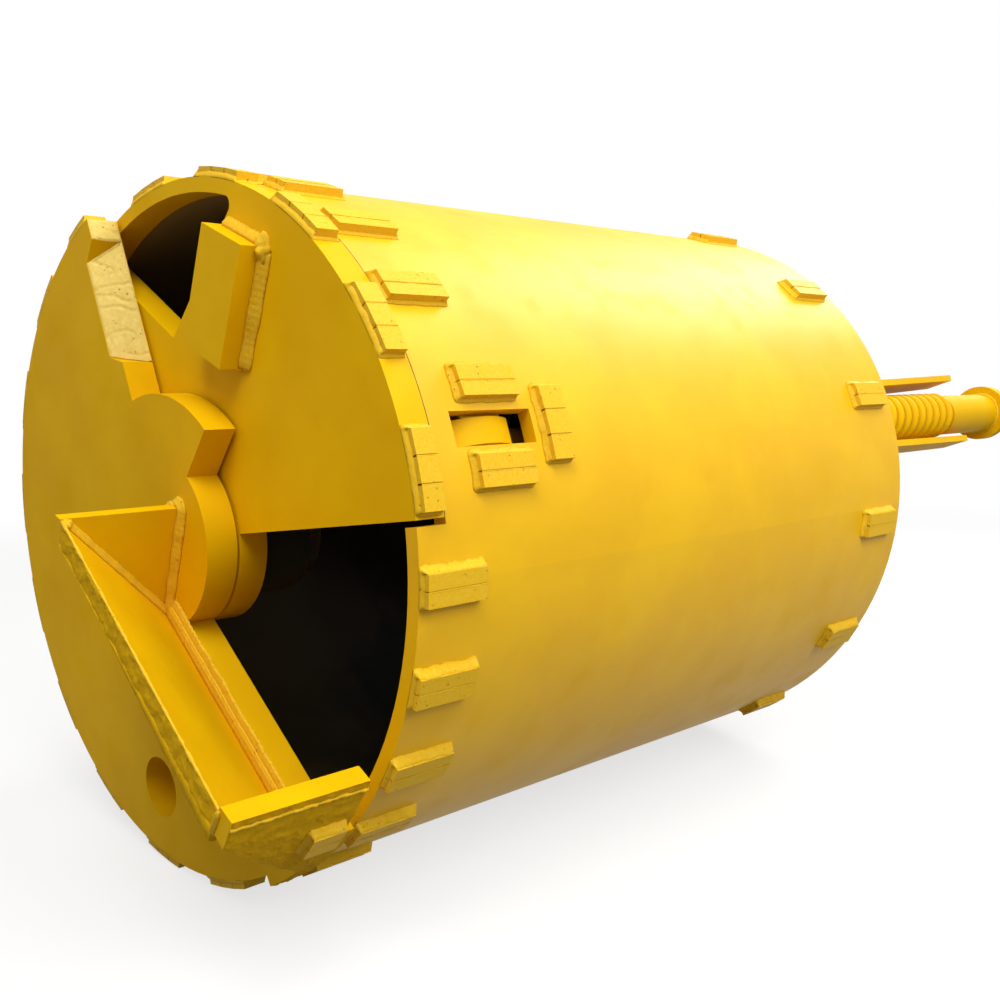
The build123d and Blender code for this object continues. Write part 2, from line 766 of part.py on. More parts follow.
# Guard bars that stand on the top plate at both sides of the spring: node, side, splay of the tip
guard_rows = (
    ("rod_guard_upper", 1, guide_bar_splay),
    ("rod_guard_lower", -1, 0.0),
)
bar_side = spring_outer_diameter / 2 + guide_bar_gap
guard_tip = shell_length + guide_bar_length
for name, side, splay in guard_rows:
    with BuildPart() as guard:
        with BuildSketch(spoke(latch_angle)):
            with BuildLine():
                Polyline(
                    (rod_radius - guide_bar_width / 2, shell_length),
                    (rod_radius + guide_bar_width / 2, shell_length),
                    (rod_radius + guide_bar_tip_width / 2, guard_tip),
                    (rod_radius - guide_bar_tip_width / 2, guard_tip),
                    close=True,
                )
            make_face()
        extrude(amount=shell_radius, both=True)
        with BuildSketch(spoke(latch_angle + 90)):
            with BuildLine():
                Polyline(
                    (side * bar_side, shell_length),
                    (side * (bar_side + guide_bar_thickness), shell_length),
                    (side * (bar_side + guide_bar_thickness + splay), guard_tip),
                    (side * (bar_side + splay), guard_tip),
                    close=True,
                )
            make_face()
        extrude(amount=shell_radius, both=True, mode=Mode.INTERSECT)
    keep(name, guard.part)

# Guide ring that steadies the rod inside the barrel
with BuildPart() as guide_ring:
    with BuildSketch(station(guide_ring_depth, latch_angle)):
        with Locations((rod_radius, 0)):
            Circle(guide_ring_diameter / 2)
        with Locations(((rod_radius + shell_radius) / 2, 0)):
            Rectangle(shell_radius - rod_radius, guide_ring_diameter)
        Circle(bore_radius, mode=Mode.INTERSECT)
        with Locations((rod_radius, 0)):
            Circle(rod_bore, mode=Mode.SUBTRACT)
    extrude(amount=-guide_ring_thickness)
keep("rod_guide_ring", guide_ring.part)

# Gate hinge: lugs on the gate between lugs on the shell, on one pin
hinge_depth = gate_thickness
with BuildPart() as gate_hinge:
    for side in (hinge_gate_lug[0], -hinge_gate_lug[1]):
        with BuildSketch(spoke(hinge_angle, side)):
            with BuildLine():
                Polyline(
                    (bore_radius, 0),
                    (hinge_radius - hinge_knuckle_radius / 2, 0),
                    (hinge_radius, hinge_depth - hinge_knuckle_radius),
                    (hinge_radius, hinge_depth),
                    (bore_radius, hinge_depth),
                    close=True,
                )
            make_face()
            with Locations((hinge_radius, hinge_depth)):
                Circle(hinge_knuckle_radius)
                Circle(hinge_pin_diameter / 2 + hinge_pin_fit, mode=Mode.SUBTRACT)
        extrude(amount=hinge_gate_lug[1] - hinge_gate_lug[0])
    with BuildSketch(station(-overrun)):
        Circle(shell_radius)
    extrude(amount=-shell_length, mode=Mode.SUBTRACT)
keep("gate_hinge_lugs", gate_hinge.part)

with BuildPart() as shell_hinge:
    for near, far in (hinge_inner_lug, hinge_outer_lug):
        for side in (near, -far):
            with BuildSketch(spoke(hinge_angle, side)):
                with BuildLine():
                    Polyline(
                        (bore_radius, hinge_depth + hinge_knuckle_radius / 2),
                        (hinge_radius, hinge_depth),
                        (hinge_radius + hinge_knuckle_radius, hinge_depth),
                        (hinge_radius + hinge_knuckle_radius, hinge_depth + hinge_knuckle_radius),
                        (shell_radius + strip_height, hinge_depth + hinge_bracket_length),
                        (bore_radius, hinge_depth + hinge_bracket_length),
                        close=True,
                    )
                make_face()
                with Locations((hinge_radius, hinge_depth)):
                    Circle(hinge_knuckle_radius)
                    Circle(hinge_pin_diameter / 2, mode=Mode.SUBTRACT)
            extrude(amount=far - near)
    with BuildSketch(station(-overrun)):
        Circle(shell_radius)
    extrude(amount=-shell_length, mode=Mode.SUBTRACT)
keep("shell_hinge_lugs", shell_hinge.part)

with BuildPart() as hinge_pin:
    with BuildSketch(spoke(hinge_angle)):
        with Locations((hinge_radius, hinge_depth)):
            Circle(hinge_pin_diameter / 2)
    extrude(amount=hinge_outer_lug[1] + hinge_pin_overhang, both=True)
keep("hinge_pin", hinge_pin.part)

os.makedirs("parts", exist_ok=True)
for name, piece in pieces.items():
    export_step(piece, f"parts/{name}.step")
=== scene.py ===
from math import atan2, cos, hypot, pi, radians, remainder, sin, tau

import bmesh
import bpy
from bpy.props import FloatProperty, FloatVectorProperty, IntProperty, PointerProperty
from mathutils import Matrix, Vector
from mathutils.bvhtree import BVHTree
from mathutils.kdtree import KDTree
from mathutils.noise import noise


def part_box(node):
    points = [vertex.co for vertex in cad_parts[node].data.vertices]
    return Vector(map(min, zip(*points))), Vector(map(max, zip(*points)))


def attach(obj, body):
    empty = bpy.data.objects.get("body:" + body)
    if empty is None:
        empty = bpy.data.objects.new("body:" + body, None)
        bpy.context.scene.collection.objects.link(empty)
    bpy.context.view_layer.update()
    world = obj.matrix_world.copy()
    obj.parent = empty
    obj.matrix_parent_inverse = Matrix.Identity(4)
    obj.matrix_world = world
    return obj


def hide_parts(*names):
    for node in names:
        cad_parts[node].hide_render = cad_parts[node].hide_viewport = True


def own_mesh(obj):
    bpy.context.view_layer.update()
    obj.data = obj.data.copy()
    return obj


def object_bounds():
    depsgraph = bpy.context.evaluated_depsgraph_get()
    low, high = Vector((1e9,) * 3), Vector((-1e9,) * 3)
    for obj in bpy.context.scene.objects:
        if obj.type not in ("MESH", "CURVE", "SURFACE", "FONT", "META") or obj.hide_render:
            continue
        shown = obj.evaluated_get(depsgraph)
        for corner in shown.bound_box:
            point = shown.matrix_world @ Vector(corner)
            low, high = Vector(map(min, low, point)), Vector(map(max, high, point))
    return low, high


bl_info = {
    "name": "Pile cleaning bucket",
    "version": (1, 0, 0),
    "blender": (4, 5, 0),
    "location": "View3D > Sidebar > Bucket",
    "description": "Dresses a drilling rig's cleaning bucket in enamel, weld beads and hard facing",
    "category": "Object",
}

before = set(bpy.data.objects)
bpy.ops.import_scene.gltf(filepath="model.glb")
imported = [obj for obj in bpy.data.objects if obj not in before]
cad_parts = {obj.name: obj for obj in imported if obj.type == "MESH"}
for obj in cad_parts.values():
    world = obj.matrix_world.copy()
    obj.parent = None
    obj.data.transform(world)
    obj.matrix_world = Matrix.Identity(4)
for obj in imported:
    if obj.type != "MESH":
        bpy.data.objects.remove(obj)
cad_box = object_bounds()

# The bucket's axis runs along Y, with the two bottom plates at the -Y end.
SHELL_LOW, SHELL_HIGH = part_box("shell")
PLATE_LOW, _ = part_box("top_plate")
GATE_LOW, GATE_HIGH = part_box("gate_plate")
SPRING_LOW, SPRING_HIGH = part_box("return_spring")
# A millimetre in metres
MM = 0.001
BARE_ROUGHNESS = 0.75


def linear(colour):
    """The linear values of an sRGB hex colour."""
    parts = [int(colour[i:i + 2], 16) / 255 for i in (1, 3, 5)]
    return [c / 12.92 if c <= 0.04045 else ((c + 0.055) / 1.055) ** 2.4 for c in parts]


def pattern_scale(size):
    """How often a pattern of this size in metres repeats in a metre."""
    return 1 / size


def polar(radius, angle, along):
    """Point at a radius and an angle in radians round the axis, from +X towards +Z."""
    return Vector((radius * cos(angle), along, radius * sin(angle)))


# Settings


def colour(name, description, default):
    """A colour setting, given in sRGB."""
    return FloatVectorProperty(
        name=name, description=description, default=linear(default), subtype="COLOR", size=3, min=0, max=1
    )


def length(name, description, default):
    """A length setting, in metres."""
    return FloatProperty(name=name, description=description, default=default, min=0, unit="LENGTH")


class EnamelSettings(bpy.types.PropertyGroup):
    yellow: colour("Yellow", "Enamel on the plates", "#DDA900")
    light_yellow: colour("Light yellow", "Enamel where it went on thick", "#E4B200")
    deep_yellow: colour("Deep yellow", "Enamel where it went on thin", "#CF9800")
    # Painted shade: this ochre darkens the pits in weld metal, and on pins it is a dull film.
    ochre: colour("Ochre", "Painted shade in weld pits, and a film on pins", "#7E560C")
    pale: colour("Pale yellow", "Dry spray on hard facing", "#E5CC74")
    olive: colour("Olive", "Enamel that sank into rough hard facing", "#CC9C10")
    sand: colour("Sand", "Hollows of the pale hard facing on the knife", "#D9B858")
    dusty: colour("Dusty yellow", "Enamel that dried rough on weld beads and strips", "#DDB93C")
    # Painted shade: the dark bare plate inside the barrel also stands in for the shade there.
    mill_scale_and_shade: colour("Mill scale", "Bare plate inside the barrel, dark also as painted shade", "#32342D")
    primer: colour("Primer", "Red-brown shop primer left inside the barrel", "#4A4032")
    # Overspray and painted light: lighter near the gate end of the barrel, where light falls in.
    haze_and_light: colour("Haze", "Overspray and painted light near the gate end", "#8A7040")
    steel: colour("Steel", "Turned pins", "#8C8880")
    mottle_size: length("Mottle size", "Width of the drifts in the sprayed coat", 0.16)
    grain_size: length("Grain size", "Width of the orange peel, coarser than real to show", 0.006)
    spatter_size: length("Spatter size", "Width of the beads on rough weld metal", 0.007)
    pit_size: length("Pit size", "Distance between the pits that gas left in weld metal", 0.009)
    primer_size: length("Primer size", "Width of the drifts of primer", 0.3)
    haze_reach: length("Haze reach", "How far into the barrel the overspray and painted light reach", 0.5)
    gloss: FloatProperty(
        name="Gloss", description="Specular level of the satin enamel", default=0.08, min=0, max=1
    )


class WeldSettings(bpy.types.PropertyGroup):
    skirt_width: length("Skirt width", "How far a strip's weld runs out on the plate", 0.010)
    bead_pitch: length("Bead pitch", "Distance between a bead's ripples, coarser than real to show", 0.009)
    bead_step: length("Bead step", "Distance between the rings of a bead's mesh", 0.003)
    crust_height: length("Crust height", "Thickness of hard facing", 0.003)
    crust_cell: length("Crust cell", "Size of a facet of hard facing", 0.0025)
    groove_pitch: length("Groove pitch", "Distance between the grooves in the knife's facing", 0.024)
    overhang: length("Overhang", "How far hard facing has run over the scoop's lower edge", 0.015)
    crest_inset: length("Crest inset", "How far the end plate's crest lies from its upper end", 0.009)


class SpringSettings(bpy.types.PropertyGroup):
    wire: length("Wire", "Diameter of the spring's wire", 0.016)
    turns: FloatProperty(name="Turns", description="Number of coils", default=10.5, min=2)
    wire_sides: IntProperty(name="Wire sides", description="Facets round the wire", default=16, min=6)
    turn_steps: IntProperty(name="Turn steps", description="Facets in one coil", default=48, min=12)
    travel: length("Travel", "How far the push rod shortens the spring", 0.036)


class StageSettings(bpy.types.PropertyGroup):
    white: colour("White", "Floor and backdrop", "#F6F6F4")
    floor_grey: colour("Floor grey", "Floor as the object sees it, so that little light comes up", "#7A7A78")
    floor_glow: FloatProperty(
        name="Floor glow", description="Share of the floor's white that no shadow darkens", default=0.72,
        min=0, max=1,
    )
    sky: FloatProperty(name="Sky", description="Strength of the light from all round", default=0.33, min=0)
    camera_place: FloatVectorProperty(
        name="Camera place", description="Where the camera stands", default=(1.4287, -2.3281, 0.2424),
        subtype="TRANSLATION", unit="LENGTH",
    )
    camera_aim: FloatVectorProperty(
        name="Camera aim", description="Direction in which the camera looks", default=(-0.731, 0.652, -0.199),
        subtype="DIRECTION",
    )
    focal_length: FloatProperty(name="Focal length", description="Lens in millimetres", default=39.83, min=1)
    shift: FloatVectorProperty(
        name="Shift", description="Share of the frame by which the lens is shifted", default=(0.074, 0.094),
        size=2,
    )


# Materials


def add_node(tree, kind, inputs=None, **settings):
    """Adds a node, sets what settings name, and gives each named input its value or its link."""
    node = tree.nodes.new(kind)
    for name, value in settings.items():
        setattr(node, name, value)
    for name, value in (inputs or {}).items():
        if isinstance(value, bpy.types.NodeSocket):
            tree.links.new(value, node.inputs[name])
        else:
            node.inputs[name].default_value = value
    return node


def coordinates(tree, kind):
    return add_node(tree, "ShaderNodeTexCoord").outputs[kind]


def new_material(name):
    """An empty material, its node tree and the place on the piece in metres."""
    material = bpy.data.materials.new(name)
    material.use_nodes = True
    tree = material.node_tree
    tree.nodes.clear()
    return material, tree, coordinates(tree, "Object")


def close(tree, inputs):
    """Ends a material with a Principled surface that has these inputs."""
    shader = add_node(tree, "ShaderNodeBsdfPrincipled", inputs)
    add_node(tree, "ShaderNodeOutputMaterial", {"Surface": shader.outputs["BSDF"]})


def rgba(value):
    return (*value, 1)


def calc(tree, operation, first, second):
    """One step of arithmetic on two values."""
    return add_node(tree, "ShaderNodeMath", {0: first, 1: second}, operation=operation).outputs["Value"]


def vector_calc(tree, operation, *values, output="Vector"):
    """One step of arithmetic on vectors."""
    inputs = dict(enumerate(values))
    return add_node(tree, "ShaderNodeVectorMath", inputs, operation=operation).outputs[output]


def spread(tree, value, low, high, out_low=0.0, out_high=1.0, curve="LINEAR"):
    """A value laid from its range low to high on another range, and held at that range's ends."""
    return add_node(
        tree, "ShaderNodeMapRange",
        {"Value": value, "From Min": low, "From Max": high, "To Min": out_low, "To Max": out_high},
        interpolation_type=curve,
    ).outputs["Result"]


def grain(tree, place, size, detail=2, roughness=0.5, output="Fac"):
    """Noise whose lumps have a real size."""
    return add_node(
        tree, "ShaderNodeTexNoise",
        {"Vector": place, "Scale": pattern_scale(size), "Detail": detail, "Roughness": roughness},
    ).outputs[output]


def spots(tree, place, size, low, high, detail=4):
    """Soft spots of a real size, from 0 at low to 1 at high."""
    return spread(tree, grain(tree, place, size, detail, 0.55), low, high, curve="SMOOTHSTEP")


def tint(tree, share, under, over):
    """A mix of two colours, from under at 0 to over at 1."""
    return add_node(
        tree, "ShaderNodeMix", {"Factor": share, 6: under, 7: over}, data_type="RGBA"
    ).outputs[2]


def along_axis(tree, vector, axis):
    return add_node(tree, "ShaderNodeSeparateXYZ", {"Vector": vector}).outputs[axis]


def bare_and_shade_share(tree, place, side):
    """1 on the unpainted side of a plate, which is dark bare plate and painted shade: inside the bore, behind
    the gate or under the top plate.
    """
    if side == "gate":
        return calc(tree, "GREATER_THAN", along_axis(tree, place, "Y"), GATE_HIGH.y - MM)
    if side == "top":
        return calc(tree, "LESS_THAN", along_axis(tree, place, "Y"), PLATE_LOW.y + MM)
    outward = vector_calc(tree, "NORMALIZE", vector_calc(tree, "MULTIPLY", place, (1, 0, 1)))
    towards = vector_calc(tree, "DOT_PRODUCT", coordinates(tree, "Normal"), outward, output="Value")
    return calc(tree, "LESS_THAN", towards, -0.5)


def bare_and_shade_colour(tree, place, settings, haze_and_light=0.0):
    """Dark mill scale with drifts of primer, the dark also painted shade, and overspray with painted light
    that fades away from the gate.
    """
    drift = spots(tree, place, settings.primer_size, 0.42, 0.6)
    base = tint(tree, drift, rgba(settings.mill_scale_and_shade), rgba(settings.primer))
    along = along_axis(tree, place, "Y")
    # Painted light with overspray: lighter near the gate end, fading into the barrel.
    near = spread(tree, along, GATE_HIGH.y + settings.haze_reach, GATE_HIGH.y, out_high=haze_and_light)
    return tint(tree, near, base, rgba(settings.haze_and_light))


def bump(tree, height, strength, distance, normal=None):
    """Relief of a real depth."""
    inputs = {"Height": height, "Strength": strength, "Distance": distance}
    if normal is not None:
        inputs["Normal"] = normal
    return add_node(tree, "ShaderNodeBump", inputs).outputs["Normal"]


def enamel(name, settings, side=None, gloss=1.0, roughness=0.55):
    """Sprayed enamel on smooth plate: warm saturated yellow, satin, with faint drifts and orange peel."""
    material, tree, place = new_material(name)
    drift = spots(tree, place, settings.mottle_size, 0.35, 0.7)
    fade = spots(tree, place, settings.mottle_size * 0.4, 0.45, 0.75)
    base = tint(tree, drift, rgba(settings.yellow), rgba(settings.light_yellow))
    base = tint(tree, calc(tree, "MULTIPLY", fade, 0.15), base, rgba(settings.deep_yellow))
    rough = spread(tree, fade, 0, 1, roughness, roughness + 0.08)
    # Painted shade: the unpainted inner sides turn to dark bare plate, which also stands in for the shade
    # inside the barrel.
    if side:
        bare = bare_and_shade_share(tree, place, side)
        haze_and_light = 0.9 if side == "bore" else 0.0
        base = tint(tree, bare, base, bare_and_shade_colour(tree, place, settings, haze_and_light))
        rough = add_node(
            tree, "ShaderNodeMix", {"Factor": bare, 2: rough, 3: BARE_ROUGHNESS}, data_type="FLOAT"
        ).outputs[0]
    peel = grain(tree, place, settings.grain_size, 3)
    close(tree, {
        "Base Color": base, "Roughness": rough, "Normal": bump(tree, peel, 0.08, 0.4 * MM),
        "IOR": 1.5, "Specular IOR Level": settings.gloss * gloss,
    })
    return material


def bare_plate_with_painted_light_and_shade(name, settings):
    """Unpainted rolled plate: near black mill scale that is also painted shade, brown primer, dull, and
    overspray with painted light from above on what looks up.
    """
    material, tree, place = new_material(name)
    # Painted light from above with overspray: sides that look up turn lighter olive.
    lift = along_axis(tree, coordinates(tree, "Normal"), "Z")
    spray = spread(tree, lift, 0.45, 1.0, out_high=0.7)
    close(tree, {
        "Base Color": tint(tree, spray, bare_and_shade_colour(tree, place, settings), rgba(settings.olive)),
        "Roughness": BARE_ROUGHNESS, "IOR": 1.5, "Specular IOR Level": settings.gloss,
    })
    return material


def pits(tree, place, size):
    """Sparse gas pits of uneven outline in clusters: 1 in a pit."""
    waver = grain(tree, place, size * 0.5, output="Color")
    shift = vector_calc(tree, "MULTIPLY_ADD", waver, (size * 0.7,) * 3, place)
    cells = add_node(
        tree, "ShaderNodeTexVoronoi", {"Vector": shift, "Scale": pattern_scale(size)}, feature="F1"
    ).outputs["Distance"]
    cluster = spots(tree, place, size * 3, 0.50, 0.58, detail=1)
    return calc(tree, "MULTIPLY", spread(tree, cells, 0.20, 0.10), cluster)


def rough_enamel(name, settings, colours, roughness, relief, pit_depth, fine):
    """Enamel over weld metal: one colour between the crests, another on them, painted shade in the pits."""
    material, tree, place = new_material(name)
    lumps = grain(tree, place, settings.spatter_size * fine, 5, 0.7)
    low, high = colours
    base = tint(tree, spread(tree, lumps, 0.34, 0.74), rgba(low), rgba(high))
    holes = pits(tree, place, settings.pit_size)
    # Painted shade: the pits are darkened with ochre.
    base = tint(tree, calc(tree, "MULTIPLY", holes, 0.6), base, rgba(settings.ochre))
    depth = calc(tree, "SUBTRACT", 1.0, holes)
    close(tree, {
        "Base Color": base, "Roughness": roughness, "IOR": 1.5, "Specular IOR Level": settings.gloss,
        "Normal": bump(tree, lumps, relief, 2 * MM, bump(tree, depth, pit_depth, MM)),
    })
    return material


def turned_steel(name, settings):
    """Turned and greased pin steel: grey, with fine rings from the lathe and a dull film."""
    material, tree, place = new_material(name)
    rings = add_node(
        tree, "ShaderNodeTexWave",
        {"Vector": place, "Scale": pattern_scale(3 * MM), "Distortion": 1.5},
        bands_direction="DIAGONAL",
    ).outputs["Fac"]
    film = spots(tree, place, 25 * MM, 0.4, 0.7)
    close(tree, {
        "Base Color": tint(tree, film, rgba(settings.steel), rgba(settings.ochre)), "Metallic": 0.9,
        "Roughness": spread(tree, film, 0, 1, 0.32, 0.6), "Normal": bump(tree, rings, 0.15, 0.3 * MM),
    })
    return material


def seen_share(tree):
    """1 for what the camera sees straight, through glass or reflected, 0 for light that a thing throws."""
    ray = add_node(tree, "ShaderNodeLightPath").outputs
    seen = calc(tree, "MAXIMUM", ray["Is Camera Ray"], ray["Is Transmission Ray"])
    return calc(tree, "MAXIMUM", seen, ray["Is Glossy Ray"])


def matt_white(name, settings):
    """Matt studio floor, white to the camera with a faint shadow, and fading into the white round it."""
    material, tree, place = new_material(name)
    seen = seen_share(tree)
    matt = add_node(
        tree, "ShaderNodeBsdfDiffuse",
        {"Color": tint(tree, seen, rgba(settings.floor_grey), rgba(settings.white))},
    )
    reach = vector_calc(tree, "LENGTH", place, output="Value")
    far = spread(tree, reach, 2.2, 4.5, settings.floor_glow, 1.0, "SMOOTHSTEP")
    white = add_node(tree, "ShaderNodeEmission", {"Color": (1, 1, 1, 1), "Strength": 1.0})
    surface_mix = add_node(
        tree, "ShaderNodeMixShader",
        {"Fac": calc(tree, "MULTIPLY", far, seen), 1: matt.outputs["BSDF"], 2: white.outputs["Emission"]},
    )
    add_node(tree, "ShaderNodeOutputMaterial", {"Surface": surface_mix.outputs["Shader"]})
    return material


# Meshes


def add_object(name, data):
    """Puts an object into the scene."""
    piece = bpy.data.objects.new(name, data)
    bpy.context.scene.collection.objects.link(piece)
    return piece


class Mesh:
    """Gathers corners and faces, and turns them into one object."""

    def __init__(self):
        self.corners = []
        self.faces = []

    def ring_strip(self, rings, closed):
        """Joins rings of corners, each of the same number, into a skin round them."""
        first = len(self.corners)
        size = len(rings[0])
        for ring in rings:
            self.corners.extend(ring)
        pairs = len(rings) if closed else len(rings) - 1
        for i in range(pairs):
            a = first + i * size
            b = first + (i + 1) % len(rings) * size
            for k in range(size):
                n = (k + 1) % size
                self.faces.append((a + k, a + n, b + n, b + k))
        if not closed:
            last = len(self.corners) - size
            self.faces += [tuple(range(first, first + size))[::-1], tuple(range(last, last + size))]

    def grid(self, rows):
        """Joins rows of corners into an open sheet."""
        first = len(self.corners)
        size = len(rows[0])
        for row in rows:
            self.corners.extend(row)
        for i in range(len(rows) - 1):
            for k in range(size - 1):
                a = first + i * size + k
                self.faces.append((a, a + 1, a + size + 1, a + size))

    def build(self, name, body, slot, material):
        """Makes the object, which moves with a body. The paint slot is not used."""
        data = bpy.data.meshes.new(name)
        data.from_pydata(self.corners, [], self.faces)
        data.validate()
        shell = bmesh.new()
        shell.from_mesh(data)
        bmesh.ops.recalc_face_normals(shell, faces=shell.faces)
        shell.to_mesh(data)
        shell.free()
        data.materials.append(material)
        data.polygons.foreach_set("use_smooth", [True] * len(data.polygons))
        piece = add_object(name, data)
        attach(piece, body)
        return piece


def merged(node):
    """A node's mesh with the corners at one place joined."""
    shell = bmesh.new()
    shell.from_mesh(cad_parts[node].data)
    bmesh.ops.remove_doubles(shell, verts=shell.verts, dist=MM / 50)
    return shell


def surface(node):
    """A node's surface, to cast rays at or to find the nearest place on."""
    shell = merged(node)
    tree = BVHTree.FromBMesh(shell)
    shell.free()
    return tree


def chain(steps):
    """Joins short straight steps into runs: a list of (points, whether it closes)."""
    links = {}
    places = {}
    for start, end in steps:
        # Ends less than a twentieth of a millimetre apart are one place.
        keys = [tuple(round(c / MM * 20) for c in p) for p in (start, end)]
        places.update(zip(keys, (start, end)))
        links.setdefault(keys[0], set()).add(keys[1])
        links.setdefault(keys[1], set()).add(keys[0])
    runs = []
    ends = sorted(k for k, others in links.items() if len(others) != 2)
    for first in ends + sorted(links):
        while links[first]:
            run = [first]
            while links[run[-1]]:
                after = min(links[run[-1]])
                links[run[-1]].discard(after)
                links[after].discard(run[-1])
                run.append(after)
                if after in ends:
                    break
            closed = run[0] == run[-1] and len(run) > 3
            runs.append(([places[k] for k in (run[:-1] if closed else run)], closed))
    return runs


def seams(node, other, side_way=None, step=0.004, reach=0.0012):
    """Where sharp edges of a node lie on another's surface: runs of points, and the ways that a fillet grows.

    With a side way, only the edges of sides that look that way count.
    """
    face = surface(other)
    shell = merged(node)
    steps, ways = [], []
    for edge in shell.edges:
        if len(edge.link_faces) != 2 or edge.calc_face_angle(0) < radians(25):
            continue
        start, end = (corner.co.copy() for corner in edge.verts)
        along = (end - start).normalized()
        found = []
        count = max(1, round((end - start).length / step))
        for i in range(count):
            a, b = start.lerp(end, i / count), start.lerp(end, (i + 1) / count)
            if face.find_nearest((a + b) / 2, reach)[0] is not None:
                found.append((a, b))
        if not found:
            continue
        # Of the edge's two faces, the one that lies on the other node is the seat.
        middle = (found[len(found) // 2][0] + found[len(found) // 2][1]) / 2
        sides = []
        for side in edge.link_faces:
            inward = side.normal.cross(along)
            if inward.dot(side.calc_center_median() - middle) < 0:
                inward = -inward
            gap = face.find_nearest(middle + inward * 2 * MM)[3]
            sides.append((gap, tuple(side.normal), inward))
        (_, _, seat_inward), (_, side_normal, rise) = sorted(sides, key=lambda item: item[0])
        if side_way and Vector(side_normal).dot(side_way) < 0.3:
            continue
        steps.extend(found)
        ways.extend(((a + b) / 2, rise.normalized(), -seat_inward.normalized()) for a, b in found)
    shell.free()
    return chain(steps), ways


def resampled(points, closed, step):
    """Points at equal distances along a run."""
    loop = points + points[:1] if closed else points
    spans = [(b - a).length for a, b in zip(loop, loop[1:])]
    total = sum(spans)
    count = max(3, round(total / step))
    marks = [total * i / count for i in range(count if closed else count + 1)]
    found = []
    i, passed = 0, 0.0
    for mark in marks:
        while i < len(spans) - 1 and passed + spans[i] < mark:
            passed += spans[i]
            i += 1
        share = (mark - passed) / spans[i] if spans[i] else 0
        found.append(loop[i].lerp(loop[i + 1], min(1, max(0, share))))
    return found


def lay_fillet(mesh, points, closed, ways, legs, passes, rough, welds):
    """A rippled fillet weld of some passes along a run, with a leg up the node and one out on its seat."""
    line = resampled(points, closed, welds.bead_step)
    nearest = KDTree(len(ways))
    for i, (place, _, _) in enumerate(ways):
        nearest.insert(place, i)
    nearest.balance()
    arc = 3 * passes + 1
    rings = []
    for i, point in enumerate(line):
        _, rise, out = ways[nearest.find(point)[1]]
        ripple = abs(sin(pi * i * welds.bead_step / welds.bead_pitch))
        end = 1.0 if closed else min(1, 0.5 + 0.25 * min(i, len(line) - 1 - i))
        swell = end * (0.95 + 0.05 * ripple + 0.22 * rough * noise(point / 0.025))
        ring = [point - (rise * legs[0] + out * legs[1]) * 0.06]
        for k in range(arc + 1):
            turn = pi / 2 * k / arc
            bulge = 0.80 + 0.20 * abs(cos(2 * turn))
            crown = 1 - 0.07 * (1 - abs(sin(pi * passes * k / arc)))
            lump = 1 + 0.10 * rough * noise(point / 0.005 + out * k)
            spot = rise * cos(turn) * legs[0] + out * sin(turn) * legs[1]
            ring.append(point + spot * bulge * crown * lump * swell)
        rings.append(ring)
    mesh.ring_strip(rings, closed)


def lay_lump(mesh, centre, size):
    """A blob of weld metal with its half widths along X, Y and Z, half sunk in what it sits on."""
    rows, sides = 16, 26
    rings = []
    for i in range(1, rows):
        lean = pi * i / rows
        ring = []
        for k in range(sides):
            turn = tau * k / sides
            out = Vector((sin(lean) * cos(turn), cos(lean), sin(lean) * sin(turn)))
            rough = 1 + 0.45 * noise(centre / 0.01 + out * 1.3)
            rough += 0.22 * noise(centre / 0.01 + out * 4)
            ring.append(centre + Vector(a * b for a, b in zip(out, size)) * rough)
        rings.append(ring)
    mesh.ring_strip(rings, closed=False)


def farthest(node, way):
    """The corner of a node that lies farthest in a direction."""
    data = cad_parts[node].data
    return max((v.co.copy() for v in data.vertices), key=lambda p: p.dot(way))


def strip_places(node):
    """Each wear strip of a node: centre angle, half width, low and high end along the axis, foot radius,
    height, and the joints between its bars as angle and half width."""
    shell = merged(node)
    shell.verts.ensure_lookup_table()
    left = set(shell.verts)
    tiles = []
    while left:
        group, waiting = set(), [left.pop()]
        while waiting:
            corner = waiting.pop()
            group.add(corner)
            for edge in corner.link_edges:
                other = edge.other_vert(corner)
                if other in left:
                    left.discard(other)
                    waiting.append(other)
        points = [corner.co for corner in group]
        middle = sum(points, Vector()) / len(points)
        angle = atan2(middle.z, middle.x)
        radii = [hypot(p.x, p.z) for p in points]
        turns = [angle + remainder(atan2(p.z, p.x) - angle, tau) for p in points]
        along = [p.y for p in points]
        tiles.append([pick(values) for values in (turns, along, radii) for pick in (min, max)])
    shell.free()
    tiles.sort(key=lambda t: t[0])
    # Bars side by side in one row are one strip, whether a joint parts them or they lap.
    joint, lap = 4 * MM, 60 * MM
    strips = []
    for tile in tiles:
        for strip in strips:
            foot = strip[4]
            gap = remainder(tile[0] - strip[1], tau) * foot
            if -lap < gap < joint and abs(tile[2] - strip[2]) < MM:
                strip[6].append((strip[1] + gap / foot / 2, abs(gap) / 2))
                strip[1] = max(strip[1], strip[1] + remainder(tile[1] - strip[1], tau))
                break
        else:
            strips.append([*tile, []])
    return [
        ((s[0] + s[1]) / 2, (s[1] - s[0]) / 2 * s[4], s[2], s[3], s[4], s[5] - s[4], s[6]) for s in strips
    ]


def fill_joints(mesh, strip, welds):
    """Enamel and slag that nearly fill the joints between a strip's bars."""
    _, _, low, high, foot, height, joints = strip
    count = round((high - low) / welds.bead_step)
    for angle, half in joints:
        for side in (-1, 1):
            edge = angle + side * (half + 0.2 * MM) / foot
            rows = []
            for i in range(count + 1):
                along = low + (high - low) * i / count
                depth = 0.3 + 1.0 * max(0.0, noise(Vector((angle * 9, along / 0.02, foot / 0.02))))
                top = foot + height - depth * MM
                middle = polar(top, angle + side * half * 0.2 / foot, along)
                rows.append([polar(top + 0.35 * MM, edge, along), middle, polar(foot, angle, along)])
            mesh.grid(rows)


